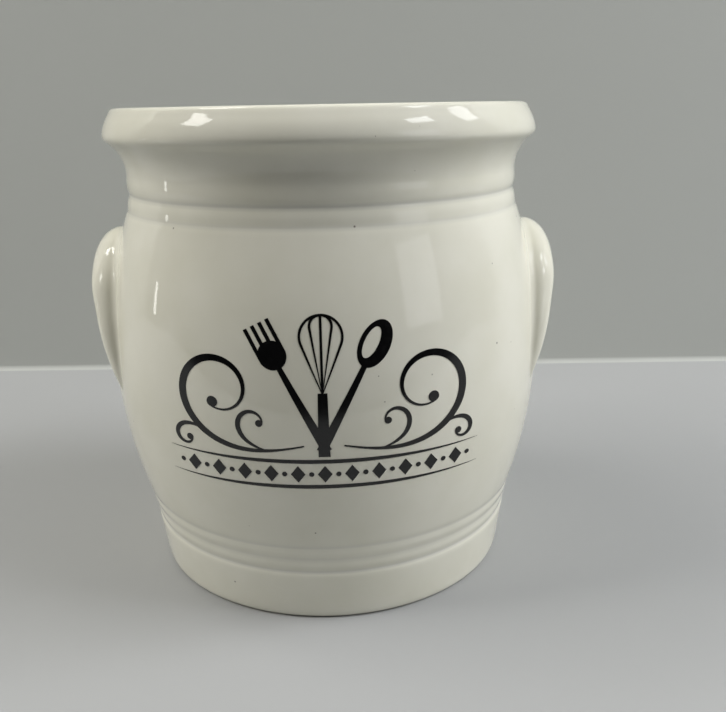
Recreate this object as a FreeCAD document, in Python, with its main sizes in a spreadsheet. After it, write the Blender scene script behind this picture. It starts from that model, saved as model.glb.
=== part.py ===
import FreeCAD, Part
import math
import os
import Sketcher

# Stoneware utensil crock: a hollow round body with two solid ear lugs luted to its sides
# and a fired black print on its front. Millimetres, +Z up, the foot rests on Z = 0,
# the mouth opens upwards and the print faces -Y.

# Driving dimensions: alias, value, what it measures
SIZES = [
    # Body, heights stacked from the foot upwards
    ("foot_band_height", 18.7, "foot to the lowest groove of the foot rings"),
    ("foot_bead_width", 5.4, "groove to groove in the foot rings"),
    ("barrel_height", 101.5, "foot rings to the shoulder ring"),
    ("belly_rise", 49.4, "start of the barrel to its widest place"),
    ("shoulder_bead_width", 6.25, "groove to groove at the shoulder ring"),
    ("neck_height", 16.85, "shoulder ring to the underside of the flange"),
    ("flange_height", 10.9, "underside of the flange to the rim"),
    # Body, the widest radius and the steps in and out from it
    ("belly_radius", 78.5, "widest place of the barrel"),
    ("barrel_foot_draw", 7.4, "belly in to the barrel's lower edge"),
    ("foot_ring_draw", 2.4, "highest groove in to the lowest groove of the foot rings"),
    ("foot_band_draw", 2.2, "top of the foot band in to the foot"),
    ("barrel_shoulder_draw", 8.8, "belly in to the barrel's upper edge"),
    ("shoulder_ring_draw", 1.3, "lower groove in to the upper groove of the shoulder ring"),
    ("neck_flare", 5.6, "shoulder ring out to the top of the neck"),
    ("flange_step", 1.1, "top of the neck out to the flange's widest place"),
    ("flange_slant", 2.8, "flange's widest place in to the top of its face"),
    # Body, small forms
    ("foot_round", 1.6, "rounding of the foot's outer edge"),
    ("ring_edge", 0.8, "step from an outer groove to the wall beside it"),
    ("bead_crown", 0.6, "how far a bead stands out from its two grooves"),
    ("flange_lip", 2.3, "height from the flange's underside to its widest place"),
    ("flange_crown", 0.45, "how far the flange's face bows out from a straight slant"),
    ("flange_lip_crown", 0.45, "rounding of the flange's lower edge"),
    ("rim_round", 1.8, "rounding of the rim's outer edge"),
    # Body, inside
    ("wall", 5.3, "thickness of the wall"),
    ("rim_thickness", 6.3, "thickness of the rim below its roundings"),
    ("floor_thickness", 5.5, "thickness of the floor"),
    ("floor_round", 9.0, "rounding between the floor and the wall inside"),
    ("foot_ring_width", 6.2, "flat ring that the crock stands on"),
    ("foot_recess", 2.5, "depth of the underside inside the foot ring"),
    ("recess_taper", 1.5, "how much the recess narrows to its top"),
    # Ear lugs
    ("lug_top_height", 118.0, "middle of a lug's roll at the top of its arch"),
    ("lug_fall", 48.5, "top of the arch down to the lower ends of its legs"),
    ("lug_half_span", 32.5, "middle of a lug out to a leg's lower end"),
    ("roll_radius", 4.8, "radius of the roll where its legs begin"),
    ("roll_swell", 0.8, "how much fuller the roll is over the top of the arch"),
    ("roll_end_radius", 2.5, "radius of the roll at a leg's lower end"),
    ("roll_stand", 2.5, "how far the roll's middle stands out from the wall at the top of the arch"),
    ("roll_sink", 3.2, "how far the roll's middle lies inside the wall at a leg's lower end"),
    # Print
    ("print_film", 0.15, "thickness of the fired print"),
    ("print_height", 81.0, "middle of the print above the foot"),
    ("print_shift", -1.2, "middle of the print to the right of the crock's axis"),
    ("fan_drop", 13.0, "middle of the print down to where the handles cross"),
    ("fan_angle", 27.0, "lean of the fork and of the spoon, in degrees"),
    ("handle_length", 27.0, "crossing of the handles to the fork's or spoon's head"),
    ("handle_tail", 2.0, "handle beyond the crossing"),
    ("handle_end_width", 3.0, "handle at its end"),
    ("handle_neck_width", 1.6, "handle at its head"),
    ("spoon_length", 14.8, "length of the spoon's bowl"),
    ("spoon_width", 9.2, "width of the spoon's bowl"),
    ("spoon_hollow_length", 9.8, "length of the bare place in the spoon's bowl"),
    ("spoon_hollow_width", 4.2, "width of the bare place in the spoon's bowl"),
    ("spoon_hollow_shift", 1.1, "bare place to the left of the bowl's middle"),
    ("fork_width", 8.4, "width of the fork's head"),
    ("fork_palm_length", 8.8, "length of the fork's palm"),
    ("tine_length", 10.0, "length of a tine from the middle of the palm"),
    ("tine_width", 1.15, "width of a tine"),
    ("whisk_grip_length", 16.0, "whisk's grip above the crossing"),
    ("whisk_grip_tail", 3.6, "whisk's grip below the crossing"),
    ("whisk_grip_width", 3.6, "width of the whisk's grip"),
    ("whisk_loop_length", 24.0, "length of the whisk's wires"),
    ("whisk_loop_width", 13.2, "width of the whisk's outer loop"),
    ("whisk_inner_width", 7.2, "width of the whisk's inner loop"),
    ("whisk_wire", 0.75, "line width of the whisk's wires"),
    ("scroll_start", 6.0, "start of a large scroll beside the handles"),
    ("scroll_length", 92.0, "length of a large scroll's line"),
    ("scroll_thin", 0.5, "line width at a scroll's ends"),
    ("scroll_thick", 2.4, "line width in the middle of a large scroll"),
    ("scroll_ball", 1.7, "radius of a large scroll's ball end"),
    ("outer_curl_length", 20.0, "length of the outer curl's line"),
    ("inner_curl_length", 25.0, "length of the inner curl's line"),
    ("curl_thick", 1.5, "line width in the middle of a curl"),
    ("curl_ball", 1.1, "radius of a curl's ball end"),
    ("border_gap", 0.95, "lower end of the whisk's grip down to the border"),
    ("rule_spacing", 8.8, "line to line of the border"),
    ("rule_length", 98.0, "length of the border's lines"),
    ("rule_thick", 1.3, "border's line at its middle"),
    ("lozenge_pitch", 8.2, "lozenge to lozenge in the border"),
    ("lozenge_width", 4.4, "width of a lozenge"),
    ("lozenge_height", 5.8, "height of a lozenge"),
    ("dot_radius", 0.8, "radius of the dots between lozenges"),
]

# Sizes worked out from the driving ones: alias, formula
WORKED_OUT = [
    ("axis", "0"),
    ("ground", "0"),
    # Heights on the outside
    ("foot_edge_height", "foot_round"),
    ("band_top_height", "foot_band_height - ring_edge"),
    ("foot_groove_low_height", "foot_band_height"),
    ("foot_groove_mid_height", "foot_band_height + foot_bead_width"),
    ("foot_groove_high_height", "foot_band_height + 2 * foot_bead_width"),
    ("barrel_start_height", "foot_groove_high_height + ring_edge"),
    ("belly_height", "foot_groove_high_height + belly_rise"),
    ("shoulder_groove_low_height", "foot_groove_high_height + barrel_height"),
    ("barrel_end_height", "shoulder_groove_low_height - ring_edge"),
    ("shoulder_groove_high_height", "shoulder_groove_low_height + shoulder_bead_width"),
    ("neck_start_height", "shoulder_groove_high_height + ring_edge"),
    ("neck_top_height", "shoulder_groove_high_height + neck_height"),
    ("flange_widest_height", "neck_top_height + flange_lip"),
    ("rim_height", "neck_top_height + flange_height"),
    # Radii on the outside, from the belly down to the foot and up to the rim
    ("barrel_start_radius", "belly_radius - barrel_foot_draw"),
    ("foot_ring_high_radius", "barrel_start_radius - ring_edge"),
    ("foot_ring_low_radius", "foot_ring_high_radius - foot_ring_draw"),
    ("foot_ring_mid_radius", "(foot_ring_low_radius + foot_ring_high_radius) / 2"),
    ("band_top_radius", "foot_ring_low_radius + ring_edge"),
    ("foot_radius", "band_top_radius - foot_band_draw"),
    ("foot_rest_radius", "foot_radius - foot_round"),
    ("barrel_end_radius", "belly_radius - barrel_shoulder_draw"),
    ("shoulder_ring_low_radius", "barrel_end_radius - ring_edge"),
    ("shoulder_ring_high_radius", "shoulder_ring_low_radius - shoulder_ring_draw"),
    ("neck_start_radius", "shoulder_ring_high_radius + ring_edge"),
    ("neck_top_radius", "neck_start_radius + neck_flare"),
    ("flange_radius", "neck_top_radius + flange_step"),
    ("rim_radius", "flange_radius - flange_slant"),
    # The rim's two roundings share its thickness
    ("rim_outer_round", "min(rim_round; 0.48 * rim_thickness)"),
    ("rim_face_height", "rim_height - rim_outer_round"),
    ("rim_top_outer_radius", "rim_radius - rim_outer_round"),
    ("lip_round", "0.3 * rim_thickness"),
    ("mouth_radius", "rim_radius - rim_thickness"),
    ("lip_height", "rim_height - lip_round"),
    ("rim_top_inner_radius", "mouth_radius + lip_round"),
    # Barrel: one arc below and one above the belly, both upright where they meet there
    ("lower_arc_drop", "belly_height - barrel_start_height"),
    ("lower_arc_in", "belly_radius - barrel_start_radius"),
    ("lower_arc_radius", "(lower_arc_in ^ 2 + lower_arc_drop ^ 2) / (2 * lower_arc_in)"),
    ("upper_arc_rise", "barrel_end_height - belly_height"),
    ("upper_arc_in", "belly_radius - barrel_end_radius"),
    ("upper_arc_radius", "(upper_arc_in ^ 2 + upper_arc_rise ^ 2) / (2 * upper_arc_in)"),
    # Arc radii of the small forms, each from its chord and its crown
    ("foot_bead_chord_sq", "foot_bead_width ^ 2 + (foot_ring_high_radius - foot_ring_mid_radius) ^ 2"),
    ("foot_bead_arc", "foot_bead_chord_sq / (8 * bead_crown) + bead_crown / 2"),
    ("shoulder_bead_chord_sq", "shoulder_bead_width ^ 2 + shoulder_ring_draw ^ 2"),
    ("shoulder_bead_arc", "shoulder_bead_chord_sq / (8 * bead_crown) + bead_crown / 2"),
    ("lip_chord_sq", "flange_lip ^ 2 + (flange_radius - neck_top_radius) ^ 2"),
    ("flange_lip_arc", "lip_chord_sq / (8 * flange_lip_crown) + flange_lip_crown / 2"),
    ("face_chord_sq", "flange_slant ^ 2 + (rim_face_height - flange_widest_height) ^ 2"),
    ("flange_face_arc", "face_chord_sq / (8 * flange_crown) + flange_crown / 2"),
    # Neck: one hollow arc, upright where it leaves the shoulder ring
    ("neck_rise", "neck_top_height - neck_start_height"),
    ("neck_arc", "(neck_flare ^ 2 + neck_rise ^ 2) / (2 * neck_flare)"),
    # Inside: every wall lies one wall thickness behind the outside
    ("floor_height", "foot_recess + floor_thickness"),
    ("floor_corner_height", "floor_height + floor_round"),
    ("inner_foot_radius", "foot_ring_low_radius - wall"),
    ("floor_flat_radius", "inner_foot_radius - floor_round"),
    ("inner_start_radius", "foot_ring_high_radius - wall"),
    ("inner_belly_radius", "belly_radius - wall"),
    ("inner_end_radius", "shoulder_ring_low_radius - wall"),
    ("inner_neck_radius", "shoulder_ring_high_radius - wall"),
    ("inner_lower_in", "inner_belly_radius - inner_start_radius"),
    ("inner_lower_drop", "belly_height - foot_groove_high_height"),
    ("inner_lower_arc", "(inner_lower_in ^ 2 + inner_lower_drop ^ 2) / (2 * inner_lower_in)"),
    ("inner_upper_in", "inner_belly_radius - inner_end_radius"),
    ("inner_upper_rise", "shoulder_groove_low_height - belly_height"),
    ("inner_upper_arc", "(inner_upper_in ^ 2 + inner_upper_rise ^ 2) / (2 * inner_upper_in)"),
    ("recess_radius", "foot_rest_radius - foot_ring_width"),
    ("recess_top_radius", "recess_radius - recess_taper"),
    # The film's outside follows the barrel's two arcs, one film thickness further out
    ("film_lower_arc", "lower_arc_radius + print_film"),
    ("film_upper_arc", "upper_arc_radius + print_film"),
    ("film_belly_radius", "belly_radius + print_film"),
    ("film_start_radius", "belly_radius - lower_arc_radius + sqrt(film_lower_arc ^ 2 - lower_arc_drop ^ 2)"),
    ("film_end_radius", "belly_radius - upper_arc_radius + sqrt(film_upper_arc ^ 2 - upper_arc_rise ^ 2)"),
    # The border hangs below the handles
    ("rule_drop", "fan_drop + whisk_grip_tail + border_gap + (rule_thick + rule_spacing) / 2"),
]

# Turns of the scroll lines, in radians: heading at the start, then the first and second
# powers of the share of the line
SCROLL_ANGLES = (-0.21, 0.14, 6.9)
OUTER_CURL_ANGLES = (0.49, -0.9, -4.3)
INNER_CURL_ANGLES = (0.28, 0.55, 4.1)
# Knots along a line, and how many of them come before each curl of a large scroll
SCROLL_KNOTS = 33
OUTER_CURL_KNOT_COUNT = 11
INNER_CURL_KNOT_COUNT = 4
LOZENGE_COUNT = 11
TINE_COUNT = 4
# Power of the sine that a pen stroke swells by: above 1 keeps its ends thin for longer
SWELL_POWER = 1.4
# Sections along a lug's roll, the power of the way down that its legs thin out by, and the shares
# of the way down between which its swell fades out
ROLL_SECTIONS = 25
TAPER_POWER = 2.1
SWELL_FADE = (0.2, 0.42)
# Step of the turn, in radians, that a section's heading is taken over
HEADING_STEP = 0.01

doc = FreeCAD.newDocument("utensil_crock")
sheet = doc.addObject("Spreadsheet::Sheet", "sizes")


def fill_sheet():
    """Driving numbers first, then the formulas that follow them."""
    row = 0
    for alias, value, meaning in SIZES:
        row += 1
        sheet.set("A%d" % row, alias)
        sheet.set("B%d" % row, str(value))
        sheet.set("C%d" % row, meaning)
        sheet.setAlias("B%d" % row, alias)
    for alias, formula in WORKED_OUT:
        row += 1
        sheet.set("A%d" % row, alias)
        sheet.set("B%d" % row, "=" + formula)
        sheet.setAlias("B%d" % row, alias)
    doc.recompute()


def size(alias):
    return float(sheet.get(alias))


def bind(item, **places):
    """Tie properties of an object to cells of the sheet."""
    for place, formula in places.items():
        item.setExpression(place.replace("__", "."), "sizes." + formula)


def arc_between(first, last, radius, outward):
    """Arc from one corner to the next, bulging away from the axis or towards it."""
    chord = last - first
    left = FreeCAD.Vector(-chord.y, chord.x, 0).normalize()
    away = math.sqrt(radius ** 2 - (chord.Length / 2) ** 2)
    center = first + chord * 0.5 + left * (away if outward else -away)
    start, end = (first, last) if outward else (last, first)
    angles = [math.atan2(p.y - center.y, p.x - center.x) for p in (start, end)]
    circle = Part.Circle(center, FreeCAD.Vector(0, 0, 1), radius)
    return Part.ArcOfCircle(circle, angles[0], angles[1])


def outline(name, corners):
    """Closed sketch on the plane behind the axis. Each corner gives its radius, its height and the edge
    to the next corner: None for a line, or an arc's radius with its bulge, out or in.
    Every corner and every arc is held by the sheet."""
    sketch = doc.addObject("Sketcher::SketchObject", name)
    sketch.Placement = FreeCAD.Placement(FreeCAD.Vector(), FreeCAD.Rotation(90, 0, 90))
    points = [FreeCAD.Vector(size(corner[0]), size(corner[1]), 0) for corner in corners]
    first_end, last_end = 1, 2
    ends = []
    for index, (_, _, edge) in enumerate(corners):
        here = points[index]
        there = points[(index + 1) % len(points)]
        if edge is None:
            sketch.addGeometry(Part.LineSegment(here, there))
            ends.append((first_end, last_end))
        else:
            outward = edge[1] == "out"
            sketch.addGeometry(arc_between(here, there, size(edge[0]), outward))
            ends.append((first_end, last_end) if outward else (last_end, first_end))
            held = sketch.addConstraint(Sketcher.Constraint("Radius", index, size(edge[0])))
            sketch.setExpression("Constraints[%d]" % held, "sizes." + edge[0])
    for index, (radius, height, _) in enumerate(corners):
        before = index - 1 if index else len(corners) - 1
        sketch.addConstraint(
            Sketcher.Constraint("Coincident", before, ends[before][1], index, ends[index][0]))
        for kind, alias, zero_line in (("DistanceX", radius, -2), ("DistanceY", height, -1)):
            if alias in ("axis", "ground"):
                sketch.addConstraint(
                    Sketcher.Constraint("PointOnObject", index, ends[index][0], zero_line))
            else:
                held = sketch.addConstraint(
                    Sketcher.Constraint(kind, -1, 1, index, ends[index][0], size(alias)))
                sketch.setExpression("Constraints[%d]" % held, "sizes." + alias)
    return sketch


def turned(name, corners):
    """Solid of revolution about the crock's axis."""
    form = doc.addObject("Part::Revolution", name)
    form.Source = outline(name + "_outline", corners)
    form.Axis = FreeCAD.Vector(0, 0, 1)
    form.Base = FreeCAD.Vector(0, 0, 0)
    form.Angle = 360
    form.Solid = True
    return form


def cut(name, base, tool):
    result = doc.addObject("Part::Cut", name)
    result.Base = base
    result.Tool = tool
    return result


def outer_form():
    """Whole outside of the crock as a filled solid: foot, rings, barrel, ring, neck and flange."""
    foot_bead = ("foot_bead_arc", "out")
    return turned("outer_form", [
        ("axis", "ground", None),
        ("foot_rest_radius", "ground", ("foot_round", "out")),
        ("foot_radius", "foot_edge_height", None),
        ("band_top_radius", "band_top_height", ("ring_edge", "out")),
        ("foot_ring_low_radius", "foot_groove_low_height", foot_bead),
        ("foot_ring_mid_radius", "foot_groove_mid_height", foot_bead),
        ("foot_ring_high_radius", "foot_groove_high_height", ("ring_edge", "out")),
        ("barrel_start_radius", "barrel_start_height", ("lower_arc_radius", "out")),
        ("belly_radius", "belly_height", ("upper_arc_radius", "out")),
        ("barrel_end_radius", "barrel_end_height", ("ring_edge", "out")),
        ("shoulder_ring_low_radius", "shoulder_groove_low_height", ("shoulder_bead_arc", "out")),
        ("shoulder_ring_high_radius", "shoulder_groove_high_height", ("ring_edge", "out")),
        ("neck_start_radius", "neck_start_height", ("neck_arc", "in")),
        ("neck_top_radius", "neck_top_height", ("flange_lip_arc", "out")),
        ("flange_radius", "flange_widest_height", ("flange_face_arc", "out")),
        ("rim_radius", "rim_face_height", ("rim_outer_round", "out")),
        ("rim_top_outer_radius", "rim_height", None),
        ("axis", "rim_height", None),
    ])


def crock_body(outside):
    """The shell: its outside, less the hollow for the utensils and the recess under the floor."""
    hollow = turned("hollow", [
        ("axis", "floor_height", None),
        ("floor_flat_radius", "floor_height", ("floor_round", "out")),
        ("inner_foot_radius", "floor_corner_height", None),
        ("inner_start_radius", "foot_groove_high_height", ("inner_lower_arc", "out")),
        ("inner_belly_radius", "belly_height", ("inner_upper_arc", "out")),
        ("inner_end_radius", "shoulder_groove_low_height", None),
        ("inner_neck_radius", "shoulder_groove_high_height", None),
        ("mouth_radius", "lip_height", ("lip_round", "in")),
        ("rim_top_inner_radius", "rim_height", None),
        ("axis", "rim_height", None),
    ])
    recess = doc.addObject("Part::Cone", "underside_recess")
    bind(recess, Radius1="recess_radius", Radius2="recess_top_radius", Height="foot_recess")
    return cut("crock_body", cut("open_crock", outside, hollow), recess)


def wall_radius(height):
    """Outer radius of the barrel at a height."""
    rise = height - size("belly_height")
    arc = size("upper_arc_radius" if rise > 0 else "lower_arc_radius")
    return size("belly_radius") - arc + math.sqrt(arc ** 2 - rise ** 2)


def roll_section(turn, side):
    """Middle and radius of a lug's roll. The turn runs from -90 degrees at the end of one leg over 0 at the
    top of the arch to 90 at the end of the other, on a half ellipse that lies on the barrel's wall."""
    across = size("lug_half_span") * math.sin(turn)
    down = 1 - math.cos(turn)
    height = size("lug_top_height") - size("lug_fall") * down
    taper = down ** TAPER_POWER
    fade = min(max((down - SWELL_FADE[0]) / (SWELL_FADE[1] - SWELL_FADE[0]), 0), 1)
    swell = size("roll_swell") * (1 - fade ** 2 * (3 - 2 * fade))
    wall = wall_radius(height)
    around = math.asin(across / wall)
    out = wall + size("roll_stand") - (size("roll_stand") + size("roll_sink")) * taper
    middle = FreeCAD.Vector(side * out * math.cos(around), side * out * math.sin(around), height)
    radius = size("roll_radius") + swell - (size("roll_radius") - size("roll_end_radius")) * taper
    return middle, radius


def ear_lug(name, outside, side):
    """Roll of clay bent to an arch, thinning to the ends of its two legs, with its back cut to the barrel
    that it is luted to. Side is -1 at the left, 1 at the right."""
    turns = [math.radians(180 * count / (ROLL_SECTIONS - 1) - 90) for count in range(ROLL_SECTIONS)]
    rings = []
    for turn in turns:
        middle, radius = roll_section(turn, side)
        ahead, _ = roll_section(turn + HEADING_STEP, side)
        behind, _ = roll_section(turn - HEADING_STEP, side)
        ring = Part.Wire(Part.makeCircle(radius))
        ring.Placement = FreeCAD.Placement(
            middle, FreeCAD.Rotation(FreeCAD.Vector(side, 0, 0), FreeCAD.Vector(), ahead - behind, "ZXY"))
        rings.append(ring)
    roll = doc.addObject("Part::Feature", name + "_roll")
    roll.Shape = Part.makeLoft(rings, True)
    return cut(name, roll, outside)


def flat(across, up):
    """Point of the flat artwork: across the front and up it."""
    return FreeCAD.Vector(across, 0, up)


def face_of(*edges):
    return Part.Face(Part.Wire(Part.__sortEdges__(list(edges))))


def polygon(points):
    return Part.Face(Part.makePolygon([flat(*point) for point in points + points[:1]]))


def ellipse(center, width, height):
    """Ellipse of the given full width and height."""
    longest = max(width, height) / 2
    shortest = min(width, height) / 2
    toward = flat(0, 1) if height > width else flat(1, 0)
    other = flat(-1, 0) if height > width else flat(0, 1)
    middle = flat(*center)
    curve = Part.Ellipse(middle + toward * longest, middle + other * shortest, middle)
    return face_of(curve.toShape())


def disc(center, radius):
    return face_of(Part.Circle(flat(*center), FreeCAD.Vector(0, 1, 0), radius).toShape())


def handle(tail, length, end_width, neck_width):
    """Straight handle that narrows towards the head, from below the crossing upwards."""
    return polygon([(-end_width / 2, -tail), (end_width / 2, -tail),
                    (neck_width / 2, length), (-neck_width / 2, length)])


def plain_handle():
    return handle(size("handle_tail"), size("handle_length") + size("tine_width"),
                  size("handle_end_width"), size("handle_neck_width"))


def spoon():
    """Bowl with a bare place to one side of its middle, on a plain handle."""
    middle = size("handle_length") + size("spoon_length") / 2
    bowl = ellipse((0, middle), size("spoon_width"), size("spoon_length"))
    bare = ellipse((-size("spoon_hollow_shift"), middle),
                   size("spoon_hollow_width"), size("spoon_hollow_length"))
    return [plain_handle(), bowl.cut(bare)]


def fork():
    """Oval palm with a row of tines, on a plain handle."""
    middle = size("handle_length") + size("fork_palm_length") / 2
    pieces = [plain_handle(), ellipse((0, middle), size("fork_width"), size("fork_palm_length"))]
    step = (size("fork_width") - size("tine_width")) / (TINE_COUNT - 1)
    half = size("tine_width") / 2
    for index in range(TINE_COUNT):
        across = half - size("fork_width") / 2 + index * step
        pieces.append(polygon([(across - half, middle), (across + half, middle),
                               (across + half, middle + size("tine_length")),
                               (across - half, middle + size("tine_length"))]))
    return pieces


def teardrop(foot, top, radius):
    """Two straight lines from the foot to a circle that ends at the top."""
    center = top - radius
    lean = math.asin(radius / (center - foot))
    touch = (radius * math.cos(lean), center - radius * math.sin(lean))
    crown = Part.Arc(flat(*touch), flat(0, top), flat(-touch[0], touch[1])).toShape()
    sides = [Part.LineSegment(flat(0, foot), flat(side * touch[0], touch[1])).toShape() for side in (1, -1)]
    return face_of(crown, *sides)


def whisk():
    """Two nested wire loops round a middle wire, on a thick grip."""
    foot = size("whisk_grip_length")
    top = foot + size("whisk_loop_length")
    wire = size("whisk_wire")
    grip = handle(size("whisk_grip_tail"), foot + wire,
                  size("whisk_grip_width"), size("whisk_grip_width") - wire)
    pieces = [grip, handle(0, top - wire / 2, wire, wire)]
    for width in ("whisk_loop_width", "whisk_inner_width"):
        radius = size(width) / 2
        pieces.append(teardrop(foot, top, radius).cut(teardrop(foot + wire, top - wire, radius - wire)))
    return pieces


def line_points(start, turns, length):
    """Points and headings along a line whose curvature changes steadily from its start:
    heading = first turn + second turn * share + third turn * share squared."""
    def heading(share):
        return turns[0] + turns[1] * share + turns[2] * share ** 2

    steps = 24
    count = (SCROLL_KNOTS - 1) * steps
    across, up = start
    knots = [(across, up, heading(0))]
    for index in range(count):
        turn = heading((index + 0.5) / count)
        across += math.cos(turn) * length / count
        up += math.sin(turn) * length / count
        if (index + 1) % steps == 0:
            knots.append((across, up, heading((index + 1) / count)))
    return knots


def pen_stroke(knots, thin, thick, ball):
    """Line that swells from thin to thick and back, with a ball on the inside of its end."""
    edges = {1: [], -1: []}
    for index, (across, up, turn) in enumerate(knots):
        half = thin / 2 + (thick - thin) / 2 * math.sin(math.pi * index / (len(knots) - 1)) ** SWELL_POWER
        for side in edges:
            edges[side].append(flat(across - side * half * math.sin(turn), up + side * half * math.cos(turn)))
    curves = []
    for side in edges:
        curve = Part.BSplineCurve()
        curve.interpolate(edges[side])
        curves.append(curve.toShape())
    ends = [Part.LineSegment(edges[1][place], edges[-1][place]).toShape() for place in (0, -1)]
    across, up, turn = knots[-1]
    inside = (1 if turn > knots[0][2] else -1) * (ball - thin / 2)
    center = (across - inside * math.sin(turn), up + inside * math.cos(turn))
    return [face_of(*curves, *ends), disc(center, ball)]


def scrolls():
    """Large scroll beside the handles, with a small curl growing from each side of it."""
    thin = size("scroll_thin")
    root = line_points((size("scroll_start"), -size("fan_drop")), SCROLL_ANGLES, size("scroll_length"))
    pieces = pen_stroke(root, thin, size("scroll_thick"), size("scroll_ball"))
    for knot, turns, length in ((OUTER_CURL_KNOT_COUNT, OUTER_CURL_ANGLES, "outer_curl_length"),
                                (INNER_CURL_KNOT_COUNT, INNER_CURL_ANGLES, "inner_curl_length")):
        curl = line_points(root[knot][:2], turns, size(length))
        pieces += pen_stroke(curl, thin, size("curl_thick"), size("curl_ball"))
    return pieces


def border():
    """Two swelled lines with lozenges and dots between them."""
    pieces = []
    half_length = size("rule_length") / 2
    for place in (-0.5, 0.5):
        up = place * size("rule_spacing") - size("rule_drop")
        swell = size("rule_thick") / 2
        arcs = [Part.Arc(flat(-half_length, up), flat(0, up + side * swell), flat(half_length, up)).toShape()
                for side in (1, -1)]
        pieces.append(face_of(*arcs))
    middle = -size("rule_drop")
    half_width = size("lozenge_width") / 2
    half_height = size("lozenge_height") / 2
    for index in range(LOZENGE_COUNT):
        across = (index - (LOZENGE_COUNT - 1) / 2) * size("lozenge_pitch")
        pieces.append(polygon([(across - half_width, middle), (across, middle - half_height),
                               (across + half_width, middle), (across, middle + half_height)]))
    for index in range(LOZENGE_COUNT + 1):
        across = (index - LOZENGE_COUNT / 2) * size("lozenge_pitch")
        pieces.append(disc((across, middle), size("dot_radius")))
    return pieces


def leaned(pieces, degrees):
    """Utensil swung about the place where the handles cross."""
    placed = []
    for piece in pieces:
        swung = piece.copy()
        swung.rotate(flat(0, 0), FreeCAD.Vector(0, 1, 0), degrees)
        swung.translate(flat(0, -size("fan_drop")))
        placed.append(swung)
    return placed


def mirrored(pieces):
    return [piece.mirror(flat(0, 0), FreeCAD.Vector(1, 0, 0)) for piece in pieces]


def artwork():
    """Fork, whisk and spoon in a fan, a scroll at each side and a border below, each carried
    straight forward past the front of the crock and joined where they touch."""
    pieces = leaned(fork(), -size("fan_angle")) + leaned(whisk(), 0) + leaned(spoon(), size("fan_angle"))
    pieces += scrolls() + mirrored(scrolls()) + border()
    forward = FreeCAD.Vector(0, -size("film_belly_radius"), 0)
    blocks = [piece.extrude(forward) for piece in pieces]
    return blocks[0].multiFuse(blocks[1:]).removeSplitter()


def front_print(outside):
    """The artwork carried onto the barrel, as a film one print thickness deep."""
    art = doc.addObject("Part::Feature", "artwork")
    art.Shape = artwork()
    art.Placement = FreeCAD.Placement(flat(size("print_shift"), size("print_height")), FreeCAD.Rotation())
    film_form = turned("film_form", [
        ("axis", "barrel_start_height", None),
        ("film_start_radius", "barrel_start_height", ("film_lower_arc", "out")),
        ("film_belly_radius", "belly_height", ("film_upper_arc", "out")),
        ("film_end_radius", "barrel_end_height", None),
        ("axis", "barrel_end_height", None),
    ])
    film = cut("film", film_form, outside)
    result = doc.addObject("Part::Common", "front_print")
    result.Base = film
    result.Tool = art
    return result


def check(items):
    """Stop at anything that failed to build."""
    for item in doc.Objects:
        if "Invalid" in item.State or "Error" in item.State:
            raise RuntimeError("%s failed: %s" % (item.Name, item.State))
    for item in items:
        if item.Shape.isNull() or not item.Shape.isValid() or not item.Shape.Solids:
            raise RuntimeError("%s has no valid solid" % item.Label)


def main():
    fill_sheet()
    outside = outer_form()
    nodes = [
        crock_body(outside),
        ear_lug("left_lug", outside, -1),
        ear_lug("right_lug", outside, 1),
        front_print(outside),
    ]
    doc.recompute()
    check(nodes)
    os.makedirs("parts", exist_ok=True)
    for node in nodes:
        node.Shape.exportStep("parts/%s.step" % node.Label)
        print("%s: %d solids, %.1f mm3" % (node.Label, len(node.Shape.Solids), node.Shape.Volume))


main()
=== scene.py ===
import math
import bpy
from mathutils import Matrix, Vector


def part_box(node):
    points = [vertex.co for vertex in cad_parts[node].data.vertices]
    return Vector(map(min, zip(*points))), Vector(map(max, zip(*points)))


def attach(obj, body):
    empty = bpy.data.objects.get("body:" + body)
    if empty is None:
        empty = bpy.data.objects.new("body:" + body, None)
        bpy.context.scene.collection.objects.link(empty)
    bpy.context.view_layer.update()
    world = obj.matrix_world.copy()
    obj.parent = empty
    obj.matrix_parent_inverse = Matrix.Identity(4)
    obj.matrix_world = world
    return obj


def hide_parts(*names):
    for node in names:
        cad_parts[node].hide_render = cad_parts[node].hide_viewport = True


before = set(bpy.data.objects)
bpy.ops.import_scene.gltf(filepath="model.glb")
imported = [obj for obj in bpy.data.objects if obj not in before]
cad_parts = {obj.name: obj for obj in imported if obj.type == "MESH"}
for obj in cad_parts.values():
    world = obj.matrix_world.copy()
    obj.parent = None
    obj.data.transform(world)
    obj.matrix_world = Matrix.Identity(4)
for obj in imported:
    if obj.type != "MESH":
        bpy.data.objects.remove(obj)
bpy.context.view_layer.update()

from types import SimpleNamespace

import bpy
import numpy as np
from bpy.props import FloatProperty, FloatVectorProperty, IntProperty, PointerProperty
from mathutils import Matrix, Vector

bl_info = {
    "name": "Stoneware utensil crock",
    "version": (1, 0, 0),
    "blender": (4, 5, 0),
    "location": "View3D > Sidebar > Crock",
    "description": "Turns, lutes and prints a glazed utensil crock round its packed solids",
    "category": "Object",
}

MM = 0.001
CAD_LOW, CAD_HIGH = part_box("crock_body")


def linear(hex_colour):
    """sRGB hex colour to the linear RGBA that the shaders take."""
    srgb = np.array([int(hex_colour[place:place + 2], 16) for place in (1, 3, 5)]) / 255
    rgb = np.where(srgb <= 0.04045, srgb / 12.92, ((srgb + 0.055) / 1.055) ** 2.4)
    return (*rgb.tolist(), 1.0)


def length(name, millimetres, words):
    """Property that holds a length, given in millimetres and kept in metres."""
    return FloatProperty(name=name, description=words, default=millimetres * MM, unit="LENGTH",
                         precision=5, step=0.01)


def degrees(name, value, words):
    """Property that holds an angle, given in degrees and kept in radians."""
    return FloatProperty(name=name, description=words, default=math.radians(value), subtype="ANGLE")


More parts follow.
